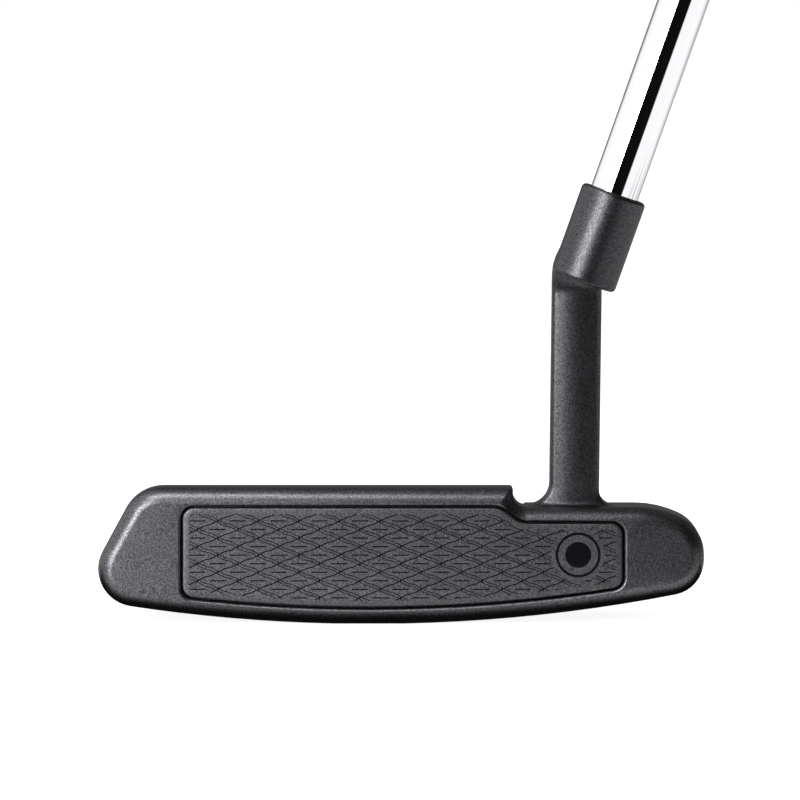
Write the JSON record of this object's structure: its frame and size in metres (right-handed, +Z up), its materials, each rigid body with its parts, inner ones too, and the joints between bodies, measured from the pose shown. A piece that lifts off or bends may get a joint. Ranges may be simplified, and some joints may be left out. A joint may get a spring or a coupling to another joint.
{
  "type": "golf putter",
  "caption": "Right-handed blade putter with an insert face, crank neck, straight steel shaft and pistol grip.",
  "frame": {"origin": "middle of the sole's flat, on the ground", "axes": "+Z up, the face looks along -Y, +X runs towards the heel"},
  "size_m": [0.3737, 0.0445, 0.8168],
  "materials": {
    "head_steel": "dark satin, bead blasted",
    "insert_metal": "dark anodised, milled",
    "damping_rubber": "matt",
    "gloss_black": "gloss",
    "white_paint": "paint fill",
    "weight_steel": "turned steel",
    "epoxy": "cured adhesive",
    "shaft_chrome": "polished chrome plate",
    "tape": "double-sided tape",
    "grip_rubber": "matt, fine texture",
    "cap_rubber": "matt"
  },
  "bodies": {
    "root": {"head": "head_steel", "face_insert": "insert_metal", "insert_pad": "damping_rubber", "insert_dot": "gloss_black", "sight_line": "white_paint", "toe_weight": "weight_steel", "heel_weight": "weight_steel", "hosel_neck": "head_steel", "hosel_bond": "epoxy", "shaft": "shaft_chrome", "grip_tape": "tape", "grip": "grip_rubber", "grip_cap": "cap_rubber"}
  },
  "joints": []
}
